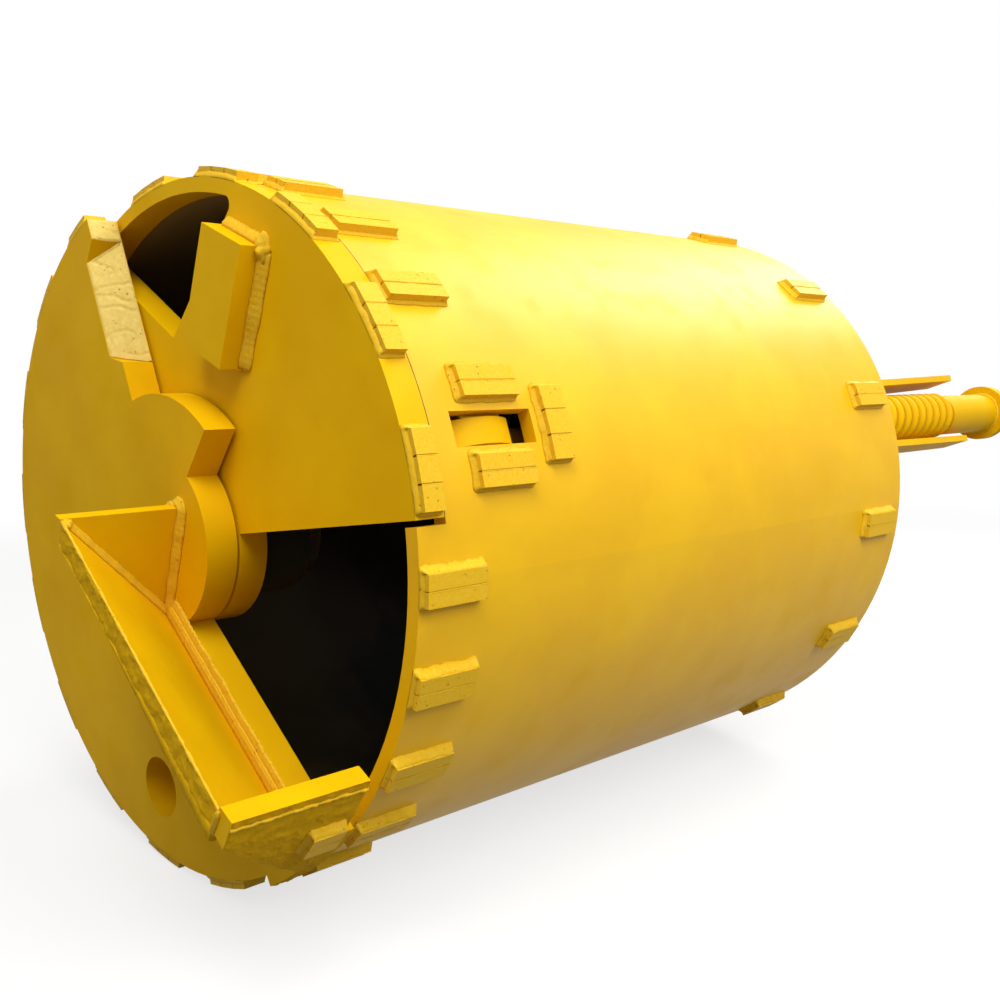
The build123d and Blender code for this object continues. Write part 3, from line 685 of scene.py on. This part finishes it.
def lay_skirt(mesh, strip, limits, welds):
    """The ragged fillet of weld round a strip's foot, kept on the plate between its limits along the axis."""
    angle, half, low, high, foot, height, _ = strip
    corners = [Vector(c) for c in ((-half, low), (half, low), (half, high), (-half, high))]
    edges = [after - corner for corner, after in zip(corners, corners[1:] + corners[:1])]
    ways = [Vector((edge.y, -edge.x)).normalized() for edge in edges]
    outline = []
    for i, (corner, edge) in enumerate(zip(corners, edges)):
        outline += [(corner, ways[i - 1].lerp(ways[i], k / 3).normalized()) for k in range(3)]
        count = round(edge.length / welds.bead_step)
        outline += [(corner + edge * (k / count), ways[i]) for k in range(count)]
    # The section of the weld: shares of its width outwards and of the strip's height upwards
    profile = (
        (-0.12, 0.97), (0.06, 0.95), (0.35, 0.62), (0.68, 0.26), (1.0, -0.04), (0.7, -0.12), (-0.12, -0.12),
    )
    rings = []
    for foot_point, out in outline:
        # The side towards which the angle grows carries a full fillet, the ends half, the other side less.
        full = 0.55 + (0.45 if out.x > 0 else 0.30) * out.x
        spot = Vector((angle * foot + foot_point.x, foot_point.y, foot)) / 0.014
        swell = (0.3 + 0.7 * full) * (0.9 + 0.30 * noise(spot) + 0.15 * noise(spot * 3))
        climb = full * (0.92 + 0.22 * noise(spot + Vector((7, 3, 5))))
        ring = []
        for share, up in profile:
            place = foot_point + out * (share * welds.skirt_width * swell)
            rough = 0.5 * MM * noise(Vector((*place, foot)) / 0.005)
            along = min(limits[1], max(limits[0], place.y))
            rise = foot + min(up * climb * height + (rough if up > 0 else 0), height * 0.97)
            ring.append(polar(rise, angle + place.x / foot, along))
        rings.append(ring)
    mesh.ring_strip(rings, closed=True)


def flat_side(node, way):
    """The largest flat side of a node that looks a given way: its outer edges and its normal."""
    shell = merged(node)
    groups = {}
    for face in shell.faces:
        if face.normal.dot(way.normalized()) > 0.96:
            depth = face.normal.dot(face.verts[0].co)
            key = (*(round(c * 60) for c in face.normal), round(depth / MM))
            groups.setdefault(key, []).append(face)
    if not groups:
        raise RuntimeError(f"{node} has no flat face that looks towards {tuple(way)}")
    faces = max(groups.values(), key=lambda group: sum(face.calc_area() for face in group))
    inside = set(faces)
    normal = faces[0].normal.copy()
    edges = [
        tuple(corner.co.copy() for corner in edge.verts)
        for face in faces for edge in face.edges if sum(f in inside for f in edge.link_faces) == 1
    ]
    shell.free()
    return edges, normal


def inset(share, margin):
    """A share kept off both ends of its span."""
    return min(max(share, margin), 1 - margin)


def crust_point(point, normal, rise, rim, welds):
    """A point of hard facing over the plate: sunk at the rim, and elsewhere never down to bare plate."""
    return point + normal * welds.crust_height * (-0.1 if rim else min(1.0, max(0.04, rise)))


def lay_crust(mesh, node, way, span, welds, grooves, rough):
    """Hard facing on the flat side of a node, over a span of its length given as two shares."""
    edges, normal = flat_side(node, way)
    face = surface(node)
    start, end = max(edges, key=lambda e: (e[1] - e[0]).length)
    along = (end - start).normalized()
    if along.dot(Vector((1, 1, 1))) < 0:
        along = -along
    across = normal.cross(along)
    corners = [corner - start for edge in edges for corner in edge]
    low, high = (pick(c.dot(along) for c in corners) for pick in (min, max))
    near, far = (pick(c.dot(across) for c in corners) for pick in (min, max))
    low, high = low + (high - low) * span[0], low + (high - low) * span[1]
    lift = 5 * MM
    fine = max(12, round((far - near) / MM))
    columns = max(6, round((high - low) / welds.crust_cell))
    rows = max(5, round((far - near) / welds.crust_cell))
    sheets = [[]]
    for i in range(columns + 1):
        foot = start + along * (low + (high - low) * inset(i / columns, 0.002))
        hits = []
        for k in range(fine + 1):
            share = near + (far - near) * inset(k / fine, 0.004)
            hit, _, _, reach = face.ray_cast(foot + across * share + normal * lift, -normal)
            if hit is not None and abs(reach - lift) < 0.3 * MM:
                hits.append(share)
        if len(hits) < 3:
            sheets.append([])
            continue
        line = []
        for k in range(rows + 1):
            point = foot + across * (hits[0] + (hits[-1] - hits[0]) * k / rows)
            rise = 0.35 + 0.75 * noise(point / 0.016) + rough * 0.40 * noise(point / 0.004)
            if grooves:
                cut = noise(Vector((i / columns * (high - low) / grooves, k / rows * 1.1, 3.3)))
                rise = 0.62 + 0.35 * rise - 1.3 * max(0.0, 1 - abs(cut) / 0.05)
            rim = k in (0, rows) or i in (0, columns)
            line.append(crust_point(point, normal, rise, rim, welds))
        sheets[-1].append(line)
    found = [sheet for sheet in sheets if len(sheet) > 2]
    if not found:
        raise RuntimeError(f"the hard facing misses {node}")
    for sheet in found:
        mesh.grid(sheet)


def lay_crest(mesh, points, welds):
    """A thin rough bead along a run of points."""
    sides = 8
    rings = []
    for i, point in enumerate(points):
        along = (points[min(i + 1, len(points) - 1)] - points[max(i - 1, 0)]).normalized()
        side = along.orthogonal().normalized()
        drift = 1 + 0.6 * noise(point / 0.012)
        ring = []
        for k in range(sides):
            turn = tau * k / sides
            rough = 1 + 0.4 * noise(point / 0.004 + Vector((k, 0, 0)))
            out = side * cos(turn) + along.cross(side) * sin(turn)
            ring.append(point + out * welds.crust_height * 0.8 * drift * rough)
        rings.append(ring)
    mesh.ring_strip(rings, closed=False)


def lay_overhang(mesh, start, end, down, back, width, welds):
    """Hard facing that has run over an edge, from nothing at the start to a full width at the end."""
    front = down.cross(end - start).normalized()
    if front.dot(back) > 0:
        front = -front
    rings = []
    count = round((end - start).length / welds.crust_cell)
    sides = 8
    for i in range(count + 1):
        share = i / count
        point = start.lerp(end, share)
        grown = width * max(0.05, min(1.0, share * 1.6 - 0.45)) * (1 + 0.25 * noise(point / 0.02))
        ring = [point - down * 2 * MM, point + front * welds.crust_height * 0.5]
        for k in range(sides + 1):
            turn = pi / 2 * k / sides
            rough = 1 + 0.12 * noise(point / 0.005 + down * k)
            lean = front * welds.crust_height * 0.6 * cos(turn)
            ring.append(point + (down * cos(turn) + back * sin(turn)) * grown * rough + lean)
        rings.append(ring)
    mesh.ring_strip(rings, closed=False)


def lay_rim_crust(mesh, crest, node, welds, ridge):
    """Hard facing on a node's outward side, and a crest some way before that side's upper end."""
    # A column that meets the side on fewer millimetres than this runs through a notch or past the end.
    least = 14
    low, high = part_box(node)
    face = surface(node)
    centre = (low + high) / 2
    middle = atan2(centre.z, centre.x)
    radius = hypot(centre.x, centre.z)
    half = (high - low).length / 2 / radius
    columns = round(2 * half * radius / welds.crust_cell)
    fine = round((high.y - low.y) / MM)
    rows = round((high.y - low.y) / welds.crust_cell)
    sheet = []
    for i in range(columns + 1):
        angle = middle - half + 2 * half * i / columns
        hits = []
        for k in range(fine + 1):
            start = polar(radius * 1.5, angle, low.y + (high.y - low.y) * inset(k / fine, 0.004))
            hit, normal, _, _ = face.ray_cast(start, polar(-1, angle, 0))
            if hit is not None and normal.dot(polar(1, angle, 0)) > 0.8:
                hits.append((hit, normal))
        if len(hits) < least:
            continue
        line = []
        for k in range(rows + 1):
            share = (len(hits) - 1) * k / rows
            before = hits[int(share)][0]
            after, normal = hits[min(int(share) + 1, len(hits) - 1)]
            point = before.lerp(after, share % 1)
            rise = 0.25 + 0.6 * noise(point / 0.014) + 0.35 * noise(point / 0.004)
            line.append(crust_point(point, normal, rise, k in (0, rows), welds))
        sheet.append(line)
    if len(sheet) < 3:
        raise RuntimeError(f"the hard facing misses the rim of {node}")
    mesh.grid(sheet)
    lay_crest(crest, sheet[-1 - round(ridge / welds.crust_cell)], welds)


# Operators

# The bare finish is dark mill scale that also stands as painted shade, with painted light on sides that look
# up.
NODE_FINISHES = {
    "shell": "rolled_bore", "top_plate": "top_underside", "gate_plate": "gate_back", "king_housing": "bare",
    "keeper": "bare", "king_pin": "pin", "hinge_pin": "pin", "latch_pin": "pin",
}

# The materials by their short names, which Paint fills in for the operators after it
finishes = {}


class BUCKET_OT_stage(bpy.types.Operator):
    """Sets up the camera, the white floor and the soft studio light"""

    bl_idname = "bucket.stage"
    bl_label = "Stage"

    def execute(self, context):
        settings = context.scene.bucket_stage
        lens = bpy.data.cameras.new("camera")
        lens.lens = settings.focal_length
        lens.sensor_width = 36
        lens.shift_x, lens.shift_y = settings.shift
        lens.clip_start, lens.clip_end = 0.05, 60
        camera = add_object("camera", lens)
        aim = Vector(settings.camera_aim).normalized()
        right = aim.cross(Vector((0, 0, 1))).normalized()
        up = right.cross(aim)
        camera.matrix_world = Matrix.Translation(settings.camera_place) @ Matrix(
            (right, up, -aim)
        ).transposed().to_4x4()
        context.scene.camera = camera

        reach, level = 40, cad_box[0].z
        data = bpy.data.meshes.new("floor")
        corners = [(x * reach, y * reach, level) for x, y in ((-1, -1), (1, -1), (1, 1), (-1, 1))]
        data.from_pydata(corners, [], [(0, 1, 2, 3)])
        data.materials.append(matt_white("matt_white", settings))
        floor = add_object("floor", data)

        # Lamp, place, target, width, height, watts
        rows = (
            ("top_front_softbox", (1.4, -2.7, 3.1), (0.1, -1.4, 0), 2.0, 2.0, 104),
            ("key_softbox", (3.0, -0.7, 2.2), (0.3, -0.8, 0), 2.0, 2.0, 89),
            ("back_softbox", (-0.05, 2.5, 3.0), (0.15, -0.6, 0.4), 1.5, 2.6, 120),
            ("front_softbox", (-0.8, -5.2, 1.5), (0, -1.5, 0), 2.4, 2.4, 14),
        )
        for name, place, target, width, height, energy in rows:
            light = bpy.data.lights.new(name, "AREA")
            light.shape = "RECTANGLE"
            light.size, light.size_y = width, height
            light.energy = energy
            lamp = add_object(name, light)
            lamp.location = place
            lamp.rotation_euler = (Vector(target) - Vector(place)).to_track_quat("-Z", "Y").to_euler()

        world = bpy.data.worlds.new("studio")
        world.use_nodes = True
        tree = world.node_tree
        tree.nodes.clear()
        strength = spread(tree, seen_share(tree), 0, 1, settings.sky, 1.0)
        sky = add_node(tree, "ShaderNodeBackground", {"Color": (1, 1, 1, 1), "Strength": strength})
        add_node(tree, "ShaderNodeOutputWorld", {"Surface": sky.outputs["Background"]})
        context.scene.world = world
        context.scene.view_settings.view_transform = "Standard"
        return {"FINISHED"}


class BUCKET_OT_paint(bpy.types.Operator):
    """Gives every plate, strip and pin its finish"""

    bl_idname = "bucket.paint"
    bl_label = "Paint"

    def execute(self, context):
        settings = context.scene.bucket_enamel
        yellow, light = settings.yellow, settings.light_yellow
        olive, dusty = settings.olive, settings.dusty
        finishes.update(
            plate=enamel("enamel_on_plate", settings),
            # The shell, gate and top plate enamels turn to dark bare plate as painted shade on their inner
            # sides, the shell's with painted light near the gate.
            rolled_bore=enamel("enamel_on_rolled_plate", settings, "bore", 3.5, 0.48),
            gate_back=enamel("enamel_on_gate_plate", settings, "gate"),
            top_underside=enamel("enamel_on_top_plate", settings, "top"),
            bare=bare_plate_with_painted_light_and_shade("scale_and_painted_shade_on_plate", settings),
            pin=turned_steel("turned_pin_steel", settings),
        )
        # Short name, name, colours between and on the crests, roughness, relief, depth of the pits and size
        # of the lumps as a share of the spatter
        rows = (
            ("strip", "enamel_on_hard_bar", (yellow, dusty), 0.5, 0.12, 0.5, 0.5),
            ("weld", "enamel_on_weld_bead", (yellow, dusty), 0.5, 0.3, 0.5, 0.7),
            ("crust", "enamel_on_hard_facing", (olive, light), 0.8, 0.3, 0.8, 0.6),
            ("end", "enamel_on_end_facing", (olive, yellow), 0.8, 0.2, 0.6, 0.6),
            ("knife", "enamel_on_knife_facing", (settings.sand, settings.pale), 0.45, 0.25, 0.8, 1.0),
        )
        for short, name, *look in rows:
            finishes[short] = rough_enamel(name, settings, *look)
        for node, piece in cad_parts.items():
            strip = "strip" if "_strip" in node else "plate"
            piece.data.materials.clear()
            piece.data.materials.append(finishes[NODE_FINISHES.get(node, strip)])
        return {"FINISHED"}


class BUCKET_OT_strip_welds(bpy.types.Operator):
    """Lays the ragged fillets round the wear strips"""

    bl_idname = "bucket.strip_welds"
    bl_label = "Strip welds"

    def execute(self, context):
        welds = context.scene.bucket_welds
        cleaning_low, cleaning_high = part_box("cleaning_plate")
        end_low, end_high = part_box("scoop_end_plate")
        shell_limits = (GATE_HIGH.y + MM, SHELL_HIGH.y)
        cleaning_limits = (cleaning_low.y, cleaning_high.y)
        # Piece, the nodes whose strips it goes round, how far it may reach along the axis, body
        rows = (
            ("tongue_strip_welds", ("tongue_wear_strips",), (SHELL_LOW.y, SHELL_HIGH.y), "barrel"),
            ("front_strip_welds", ("front_wear_strips", "front_rest_strips"), shell_limits, "barrel"),
            ("rear_strip_welds", ("rear_wear_strips", "rear_rest_strips"), shell_limits, "barrel"),
            ("window_strip_welds", ("window_side_strips", "window_end_strip"), shell_limits, "barrel"),
            ("gate_strip_welds", ("gate_wear_strips",), (GATE_LOW.y, GATE_HIGH.y), "gate"),
            ("cleaning_strip_welds", ("cleaning_wear_strips",), cleaning_limits, "cleaning_bottom"),
            ("scoop_strip_welds", ("scoop_wear_strip",), (end_low.y, end_high.y), "cleaning_bottom"),
        )
        for name, nodes, limits, body in rows:
            mesh = Mesh()
            for node in nodes:
                for strip in strip_places(node):
                    lay_skirt(mesh, strip, limits, welds)
                    fill_joints(mesh, strip, welds)
            mesh.build(name, body, "painted_strips", finishes["weld"])
        return {"FINISHED"}


class BUCKET_OT_joint_welds(bpy.types.Operator):
    """Lays the weld beads where plates stand on each other"""

    bl_idname = "bucket.joint_welds"
    bl_label = "Joint welds"

    def execute(self, context):
        welds = context.scene.bucket_welds
        # The ways that the stop block's four sides and the scoop's inner side look
        right, left = Vector((0.93, 0, -0.36)), Vector((-0.93, 0, 0.36))
        over, under = Vector((0.36, 0, 0.93)), Vector((-0.36, 0, -0.93))
        inner = Vector((0.46, 0.67, 0.58))
        # Piece, body, slot, and for each seam: node, the node it stands on and the leg in millimetres. Some
        # seams add their other leg, out on the second node, the sides they keep to, passes and roughness.
        rows = (
            ("scoop_welds", "cleaning_bottom", "painted_bottom", (
                ("scoop_blade", "cleaning_plate", 12, 40, inner, 6, 0.3),
                ("scoop_blade", "cleaning_plate", 10, 10, -inner, 1, 1.0),
                ("scoop_gusset", "cleaning_plate", 10, 15, None, 2, 0.8),
                ("scoop_blade", "scoop_gusset", 9, 9, None, 2, 1.0),
                ("scoop_end_plate", "scoop_blade", 6),
            )),
            ("gate_welds", "gate", "painted_bottom", (
                ("stop_block", "gate_plate", 11, 19, right, 3, 0.5),
                ("stop_block", "gate_plate", 13, 15, over, 1, 0.5),
                ("stop_block", "gate_plate", 7, 7, under, 1, 1.0),
                ("stop_block", "gate_plate", 7, 7, left, 1, 1.0),
                ("king_housing", "gate_plate", 9), ("keeper", "gate_plate", 6),
                ("gate_hinge_lugs", "gate_plate", 6),
            )),
            ("kelly_welds", "barrel", "painted_barrel", (
                ("kelly_doubler", "top_plate", 9), ("kelly_box", "kelly_doubler", 10),
                *((f"kelly_gusset_{n}", other, 9)
                  for n in (1, 2, 3, 4) for other in ("kelly_box", "top_plate")),
                ("top_plate", "shell", 6),
            )),
            ("barrel_welds", "barrel", "painted_barrel", (
                ("shell_hinge_lugs", "shell", 8), ("rod_guard_upper", "top_plate", 7),
                ("rod_guard_lower", "top_plate", 7), ("rod_bush", "top_plate", 5),
                ("latch_ears", "shell", 7), ("rod_guide_ring", "shell", 7),
            )),
            ("rod_welds", "push_rod", "painted_fittings", (("push_sleeve", "push_cap", 4),)),
        )
        # Blobs where a bead starts or ends: piece, node, direction to its corner, half widths in millimetres
        # and the share of the way from the corner to the node's middle
        lumps = (
            ("scoop_welds", "scoop_gusset", (0.5, -1, -0.2), (10, 7, 9), 0.12),
            ("scoop_welds", "scoop_gusset", (0.1, 0.9, 1), (12, 9, 12), 0.1),
            ("gate_welds", "stop_block", (0.9, 0.2, 0.7), (17, 12, 18), 0.03),
            ("gate_welds", "stop_block", (0.9, 0.9, 0.3), (11, 9, 14), 0.03),
        )
        for name, body, slot, pairs in rows:
            mesh = Mesh()
            for node, other, up, *more in pairs:
                out, side_way, passes, rough = more or (up, None, 1, 1.0)
                legs = (up * MM, out * MM)
                runs, ways = seams(node, other, side_way)
                if not runs:
                    raise RuntimeError(f"{node} has no edge on {other}")
                for points, closed in runs:
                    if sum((b - a).length for a, b in zip(points, points[1:])) > 4 * welds.bead_step:
                        lay_fillet(mesh, points, closed, ways, legs, passes, rough, welds)
            for piece, node, way, size, share in lumps:
                if piece == name:
                    low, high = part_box(node)
                    place = farthest(node, Vector(way)).lerp((low + high) / 2, share)
                    lay_lump(mesh, place, [half * MM for half in size])
            mesh.build(name, body, slot, finishes["weld"])
        return {"FINISHED"}


class BUCKET_OT_hard_facing(bpy.types.Operator):
    """Lays the hard facing on the knife, the scoop's edges and its end plate"""

    bl_idname = "bucket.hard_facing"
    bl_label = "Hard facing"

    def execute(self, context):
        welds = context.scene.bucket_welds
        pitch = welds.groove_pitch
        # Piece, finish, node, way that the faced side looks, span, distance between grooves, roughness
        rows = (
            ("knife_facing", "knife", "cleaning_plate", (0.76, -0.57, 0.33), (0, 1), pitch, 0.5),
            ("knife_tip_facing", "knife", "cleaning_plate", (0.92, 0, 0.39), (0.88, 1), pitch, 0.5),
            ("blade_facing", "crust", "scoop_blade", (0, -1, 0), (0, 1), 0, 1.0),
        )
        for name, finish, node, way, span, grooves, rough in rows:
            mesh = Mesh()
            lay_crust(mesh, node, Vector(way), span, welds, grooves, rough)
            mesh.build(name, "cleaning_bottom", "painted_bottom", finishes[finish])
        edges, _ = flat_side("scoop_blade", Vector((0, -1, 0)))
        sides = sorted(edges, key=lambda e: (e[1] - e[0]).length)[-2:]
        lower, upper = sorted((sorted(side, key=lambda p: p.x) for side in sides), key=lambda e: e[0].z)
        # Behind its lower edge the blade falls and runs back to the cleaning plate by these shares.
        down = (lower[0] - upper[0]).normalized()
        fall, run = 0.67, 0.74
        back = Vector((down.x * fall, run, down.z * fall)).normalized()
        mesh = Mesh()
        lay_overhang(mesh, *lower, down, back, welds.overhang, welds)
        mesh.build("blade_overhang", "cleaning_bottom", "painted_bottom", finishes["crust"])
        mesh, crest = Mesh(), Mesh()
        lay_crest(crest, resampled(upper, False, welds.crust_cell), welds)
        lay_rim_crust(mesh, crest, "scoop_end_plate", welds, welds.crest_inset)
        mesh.build("end_plate_facing", "cleaning_bottom", "painted_bottom", finishes["end"])
        crest.build("scoop_crests", "cleaning_bottom", "painted_bottom", finishes["weld"])
        return {"FINISHED"}


class BUCKET_OT_spring(bpy.types.Operator):
    """Winds the smooth return spring"""

    bl_idname = "bucket.spring"
    bl_label = "Spring"

    def execute(self, context):
        settings = context.scene.bucket_spring
        centre = (SPRING_LOW + SPRING_HIGH) / 2
        radius = (SPRING_HIGH.x - SPRING_LOW.x - settings.wire) / 2
        rise = SPRING_HIGH.y - SPRING_LOW.y - settings.wire
        count = round(settings.turns * settings.turn_steps)
        rings = []
        for i in range(count + 1):
            turn = tau * i / settings.turn_steps
            out = Vector((cos(turn), 0, sin(turn)))
            middle = Vector((centre.x, SPRING_LOW.y + settings.wire / 2 + rise * i / count, centre.z))
            ring = []
            for k in range(settings.wire_sides):
                lean = tau * k / settings.wire_sides
                across = out * (radius + settings.wire / 2 * cos(lean))
                ring.append(middle + across + Vector((0, settings.wire / 2 * sin(lean), 0)))
            rings.append(ring)
        mesh = Mesh()
        mesh.ring_strip(rings, closed=False)
        spring = mesh.build("spring_coil", "barrel", "painted_fittings", finishes["plate"])
        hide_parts("return_spring")
        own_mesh(spring)
        return {"FINISHED"}


PIECES = (
    BUCKET_OT_paint, BUCKET_OT_strip_welds, BUCKET_OT_joint_welds, BUCKET_OT_hard_facing, BUCKET_OT_spring,
)


class BUCKET_PT_panel(bpy.types.Panel):
    """Lists the steps that dress the bucket"""

    bl_idname = "BUCKET_PT_panel"
    bl_label = "Cleaning bucket"
    bl_space_type = "VIEW_3D"
    bl_region_type = "UI"
    bl_category = "Bucket"

    def draw(self, context):
        column = self.layout.column()
        for operator in (BUCKET_OT_stage, *PIECES):
            column.operator(operator.bl_idname)
        for group in ("bucket_enamel", "bucket_welds", "bucket_spring", "bucket_stage"):
            settings = getattr(context.scene, group)
            box = self.layout.box()
            for name in settings.__annotations__:
                box.prop(settings, name)


CLASSES = (
    EnamelSettings, WeldSettings, SpringSettings, StageSettings, BUCKET_OT_stage, *PIECES, BUCKET_PT_panel,
)
SETTINGS = (
    ("bucket_enamel", EnamelSettings), ("bucket_welds", WeldSettings),
    ("bucket_spring", SpringSettings), ("bucket_stage", StageSettings),
)


def register():
    for item in CLASSES:
        bpy.utils.register_class(item)
    for name, group in SETTINGS:
        setattr(bpy.types.Scene, name, PointerProperty(type=group))


def unregister():
    for name, _ in SETTINGS:
        delattr(bpy.types.Scene, name)
    for item in reversed(CLASSES):
        bpy.utils.unregister_class(item)


def main():
    register()
    bpy.ops.bucket.stage()
    bpy.ops.bucket.paint()
    bpy.ops.bucket.strip_welds()
    bpy.ops.bucket.joint_welds()
    bpy.ops.bucket.hard_facing()
    bpy.ops.bucket.spring()


if __name__ == "__main__":
    main()
